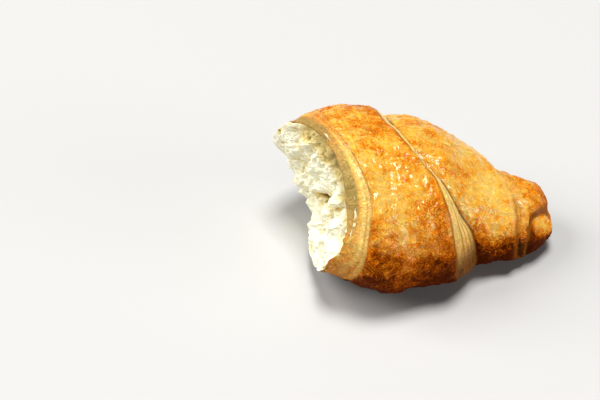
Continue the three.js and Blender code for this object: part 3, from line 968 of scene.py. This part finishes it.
def crust_material(look):
    """Browned, egg-washed crust: colour by how baked it is, with painted shade, mottled, lighter on its
    flecks as painted glints and browner in its fine valleys as painted shade, with paler sheet ends and
    dark creases with painted shade, under a thin soft coat."""
    mat, tree, shader = new_material("browned_crust", CRUST_SHADER)
    mottle, height = use_group(tree, speckle_group(), CRUST_GRAIN, ("Mottle", "Height"))
    lines, rings = use_group(tree, swirl_group(), {}, ("Lines", "Rings"))
    swing = times(tree, minus(tree, mottle, NOISE_MIDDLE), look.mottle)
    glint_fleck = plus(tree, times(tree, lines, FLECK_LINES), times(tree, rings, FLECK_RINGS))
    # Lighter on the flecks as painted glints, browner in the fine valleys as painted shade
    glints_and_shade = plus(tree, times(tree, glint_fleck, look.glint_fleck),
                  times(tree, minus(tree, height, HEIGHT_MIDDLE), look.valley_shade))
    heat_and_painted_light = minus(tree, plus(tree, attribute(tree, "bake"), swing), glints_and_shade)
    browns = (look.pale, look.gold, look.amber, look.brown, look.dark)
    color = ramp(tree, heat_and_painted_light, list(zip(CRUST_STOPS, browns)))
    for mask, tint in (("pale", look.sheet), ("groove", look.crease), ("dough", look.dough)):
        color = mix_color(tree, attribute(tree, mask), color, tint)
    feed(tree, color, shader.inputs["Base Color"])
    rough = plus(tree, times(tree, heat_and_painted_light, ROUGH_BY_HEAT), look.roughness - ROUGH_AT_MEAN)
    feed(tree, rough, shader.inputs["Roughness"])
    feed(tree, times(tree, attribute(tree, "gloss"), look.glaze), shader.inputs["Coat Weight"])
    bump(tree, shader, plus(tree, times(tree, height, BUMP_HEIGHT), glint_fleck), CRUST_BUMP)
    return mat


def crumb_material(look):
    """Soft torn crumb: cream, yellower and darker in its hollows as painted shade, with a fibrous fine
    grain.
    """
    mat, tree, shader = new_material("pale_crumb", CRUMB_SHADER)
    mottle, height = use_group(tree, speckle_group(), CRUMB_GRAIN, ("Mottle", "Height"))
    swing = times(tree, minus(tree, mottle, NOISE_MIDDLE), CRUMB_MOTTLE)
    deep = plus(tree, attribute(tree, "hollow"), swing)
    color = ramp(tree, deep, list(zip(CRUMB_STOPS, (look.cream, look.butter, look.shade))))
    feed(tree, color, shader.inputs["Base Color"])
    bump(tree, shader, height, CRUMB_BUMP)
    return mat


class CrustLook(bpy.types.PropertyGroup):
    """Colours and gloss of the crust, and the heights of its relief."""
    # Pale and Gold also show the painted glints where the flecks lighten the colour
    pale: tone("Pale", "Least baked crust", 255, 207, 104)
    gold: tone("Gold", "Lightly browned crust", 248, 172, 48)
    amber: tone("Amber", "Well browned crust", 218, 116, 10)
    # Brown and Dark also carry the painted shade of the lower sides and the base
    brown: tone("Brown", "Dark crust", 164, 74, 3)
    dark: tone("Dark", "Crust at the base", 84, 28, 1)
    sheet: tone("Sheet ends", "Ends of the thin layers", 255, 214, 124)
    # Crease: painted shade in the creases, with the darker lines between the layers
    crease: tone("Crease", "Lines between the layers", 148, 82, 16)
    # Dough: thin dough with painted shade on it
    dough: tone("Dough", "Thin dough at the torn rim", 160, 141, 82)
    # Flecks are painted glints; Valleys are painted shade
    glint_fleck: amount("Flecks", "Strength of the pale flecks", 0.42)
    valley_shade: amount("Valleys", "How much browner the fine valleys are", 0.35)
    mottle: amount("Mottle", "Strength of the blotches", 0.7)
    roughness: amount("Roughness", "Mean roughness", 0.23)
    glaze: amount("Glaze", "Weight of the egg-wash coat", 0.65)
    ring: amount("Rings", "Height of the nested rings in mm", 0.09)
    ripple: amount("Ripples", "Height of soft ripples in mm", 0.34)
    wrinkle: amount("Wrinkles", "Height of wrinkles in mm", 0.26)
    blister: amount("Blisters", "Height of blisters in mm", 0.18)
    dent: amount("Dents", "Height of the slow dents in mm", 0.45)


class CrumbLook(bpy.types.PropertyGroup):
    """Colours and relief of the torn crumb."""
    cream: tone("Cream", "Raised crumb", 255, 250, 221)
    # Butter and Shade are painted shade, towards which the crumb darkens in its hollows
    butter: tone("Butter", "Crumb between high and low", 238, 213, 134)
    shade: tone("Shade", "Crumb in the hollows", 132, 105, 36)
    relief: amount("Relief", "Height of the torn relief in mm", 1.7)


class StageLook(bpy.types.PropertyGroup):
    """Camera and lights."""
    azimuth: amount("Azimuth", "Camera azimuth", math.radians(-24), subtype="ANGLE")
    elevation: amount("Elevation", "Camera elevation", math.radians(38), subtype="ANGLE")
    distance: amount("Distance", "Camera to the look point", 0.52, unit="LENGTH")
    lens: amount("Lens", "Focal length in mm", 88.9)
    spot_x: amount("Spot X", "Where the look point shows, in pixels", 423.6)
    spot_y: amount("Spot Y", "Where the look point shows, in pixels", 194.3)
    key: amount("Key", "Power of the key light", 112.0, unit="POWER")
    fill: amount("Fill", "Power of the fill light", 127.0, unit="POWER")
    front: amount("Front", "Power of the low front light", 56.0, unit="POWER")
    sky: amount("Sky", "Strength of the surrounding light", 0.04)


class CROISSANT_OT_crust(bpy.types.Operator):
    """Makes the browned crust in two pieces, the outer winding and the inner one with the tip"""
    bl_idname = "croissant.crust"
    bl_label = "Crust"

    def execute(self, context):
        look = context.scene.croissant_crust
        material = crust_material(look)
        self.outer(look, material)
        self.inner(look, material)
        return {"FINISHED"}

    def outer(self, look, material):
        """From the curled lip at the tear to below the inner crust."""
        deg = ring(OUTER_AROUND)
        m = marks(deg)
        rim = m["rim"] + peel(deg) + LIP_JAG_SHARE * rim_jag(deg, LIP_JAG_SEED)
        turn = np.linspace(0, np.pi / 2, LIP_ROWS)[:-1, None]
        lip_q = -LIP * (LIP_LEAST + (1 - LIP_LEAST) * overhang(deg)) * np.cos(turn)
        lip_s = rim - LIP_BULGE * np.sin(2 * turn) + LIP_BACK * np.cos(turn) ** 2
        end = m["first_end"] + WALL
        body = np.concatenate([spans([rim, m["strip"], m["first"] - WALL, end], OUTER_ROWS),
                               span(end, m["first_end"] + TUCK, TUCK_ROWS, True)])
        curl = 1 - CURL * overhang(deg) * ease(CURL_REACH, 0, body - rim) ** CURL_POWER
        q = np.concatenate([lip_q + curl[0], curl])
        q[-TUCK_ROWS:] -= TUCK_SINK * (np.arange(1, TUCK_ROWS + 1) / TUCK_ROWS)[:, None]
        self.dress("crust_outer", np.concatenate([lip_s, body]), deg, q, look, material, False)

    def inner(self, look, material):
        """From below the outer crust over the second edge and the fold to the tip."""
        deg = ring(INNER_AROUND)
        m = marks(deg)
        fold = m["fold"] + WALL
        lines = [m["first_end"] - INNER_START, m["second"] - WALL, m["second_end"] + WALL,
                 m["fold"] - WALL, fold]
        tip = np.sin(np.linspace(0, TIP_END, TIP_ROWS)[:, None] * np.pi / 2)
        s = np.concatenate([spans(lines, INNER_ROWS), fold + (SPINE_LENGTH - fold) * tip])
        self.dress("crust_inner", s, deg, 1.0, look, material, True)

    def dress(self, name, s, deg, q, look, material, tip):
        """One crust piece: the plain form with its layers, then the fine relief along its normals."""
        deg = np.broadcast_to(deg, s.shape)
        grid = crust(s, deg, q, True)
        masks = crust_masks(s, wrap(deg), grid)
        if not tip:
            masks["pale"][:LIP_ROWS - 1] = 0
            # Painted shade on the curled lip
            masks["bake"][:LIP_ROWS - 1] += LIP_SHADE
        relief = crust_relief(grid, masks, look)
        grid = grid + outward(grid) * relief[..., None]
        grid[..., 2] = np.maximum(grid[..., 2], 0)
        make_piece(name, grid, material, masks, grid[-1].mean(0) if tip else None)


class CROISSANT_OT_crumb(bpy.types.Operator):
    """Makes the torn crumb inside the rim"""
    bl_idname = "croissant.crumb"
    bl_label = "Crumb"

    def execute(self, context):
        look = context.scene.croissant_crumb
        deg = np.broadcast_to(ring(CRUMB_AROUND), (CRUMB_ROWS, CRUMB_AROUND))
        share = np.arange(1, CRUMB_ROWS + 1) / CRUMB_ROWS
        q = np.broadcast_to(CRUMB_INSET * share[:, None] ** CRUMB_ROW_POWER, deg.shape)
        grid = torn(q, deg)
        depth, hollow = crumb_relief(grid, deg, q, look.relief)
        grid[..., 0] += depth
        skirt = crumb_skirt(deg[0])
        grid = np.concatenate([grid, skirt])
        hollow = np.concatenate([hollow, np.full(skirt.shape[:2], SKIRT_HOLLOW)])
        make_piece("crumb_torn", grid, crumb_material(look), {"hollow": hollow},
                   grid[0].mean(0), True)
        return {"FINISHED"}


class CROISSANT_OT_stage(bpy.types.Operator):
    """Makes the floor, the lights and the camera"""
    bl_idname = "croissant.stage"
    bl_label = "Stage"

    def execute(self, context):
        look = context.scene.croissant_stage
        self.floor()
        self.world(look)
        for name, (size, place) in LAMPS.items():
            self.lamp(name, getattr(look, name), size, Vector(place))
        self.camera(context, look)
        return {"FINISHED"}

    def floor(self):
        """A wide pale floor."""
        mat, _, _ = new_material("pale_floor", FLOOR_SHADER)
        mesh = bpy.data.meshes.new("floor")
        corners = [(x * FLOOR_SIDE, y * FLOOR_SIDE, 0) for x, y in ((-1, -1), (1, -1), (1, 1), (-1, 1))]
        mesh.from_pydata(corners, [], [(0, 1, 2, 3)])
        mesh.materials.append(mat)
        obj = bpy.data.objects.new("floor", mesh)
        bpy.context.scene.collection.objects.link(obj)

    def world(self, look):
        """Even pale light from all sides."""
        world = bpy.data.worlds.new("pale_surround")
        world.use_nodes = True
        back = world.node_tree.nodes["Background"]
        back.inputs["Color"].default_value = SKY_COLOR
        back.inputs["Strength"].default_value = look.sky
        bpy.context.scene.world = world
        bpy.context.scene.view_settings.view_transform = "Standard"

    def lamp(self, name, power, size, place):
        """A square area light that faces the croissant."""
        light = bpy.data.lights.new(name, "AREA")
        light.energy = power
        light.size = size
        obj = bpy.data.objects.new(name, light)
        obj.location = place
        obj.rotation_mode = "QUATERNION"
        obj.rotation_quaternion = (LAMP_TARGET - place).to_track_quat("-Z", "Y")
        bpy.context.scene.collection.objects.link(obj)

    def camera(self, context, look):
        """A camera off the side of the look point, turned so that the point shows at its spot."""
        data = bpy.data.cameras.new("camera")
        data.lens = look.lens
        data.sensor_width = SENSOR
        data.clip_start, data.clip_end = CLIP
        cam = bpy.data.objects.new("camera", data)
        point = Vector((LOOK_POINT + SHIFT) * MM)
        back = direction(look.azimuth, look.elevation)
        cam.location = point + back * look.distance
        focal = look.lens / SENSOR * PICTURE[0]
        want = ((look.spot_x - PICTURE[0] / 2) / focal, (PICTURE[1] / 2 - look.spot_y) / focal)
        a, e = look.azimuth, look.elevation
        for _ in range(AIM_TURNS):
            right, up, turned = camera_axes(a, e)
            depth = back.dot(turned)
            a += (want[0] + back.dot(right) / depth) * AIM_SHARE
            e += (want[1] + back.dot(up) / depth) * AIM_SHARE
        cam.rotation_mode = "QUATERNION"
        cam.rotation_quaternion = Matrix(camera_axes(a, e)).transposed().to_quaternion()
        context.scene.collection.objects.link(cam)
        context.scene.camera = cam


def direction(azimuth, elevation):
    """Unit way from the object to the camera."""
    return Vector((math.sin(azimuth) * math.cos(elevation), -math.cos(azimuth) * math.cos(elevation),
                   math.sin(elevation)))


def camera_axes(azimuth, elevation):
    """Right, up and back of a level camera that stands at these angles and looks at the object."""
    back = direction(azimuth, elevation)
    right = Vector((math.cos(azimuth), math.sin(azimuth), 0))
    return right, back.cross(right), back


class CROISSANT_PT_panel(bpy.types.Panel):
    """Lists the steps of the croissant"""
    bl_label = "Croissant"
    bl_idname = "CROISSANT_PT_panel"
    bl_space_type = "VIEW_3D"
    bl_region_type = "UI"
    bl_category = "Croissant"

    def draw(self, context):
        for step in STEPS:
            self.layout.operator(step.bl_idname)


STEPS = (CROISSANT_OT_crust, CROISSANT_OT_crumb, CROISSANT_OT_stage)
LOOKS = {"croissant_crust": CrustLook, "croissant_crumb": CrumbLook, "croissant_stage": StageLook}


def register():
    for group in LOOKS.values():
        bpy.utils.register_class(group)
    for key, group in LOOKS.items():
        setattr(bpy.types.Scene, key, PointerProperty(type=group))
    for step in STEPS:
        bpy.utils.register_class(step)
    bpy.utils.register_class(CROISSANT_PT_panel)


def unregister():
    bpy.utils.unregister_class(CROISSANT_PT_panel)
    for step in reversed(STEPS):
        bpy.utils.unregister_class(step)
    for key, group in LOOKS.items():
        delattr(bpy.types.Scene, key)
        bpy.utils.unregister_class(group)


def main():
    register()
    bpy.ops.croissant.crust()
    bpy.ops.croissant.crumb()
    bpy.ops.croissant.stage()


if __name__ == "__main__":
    main()
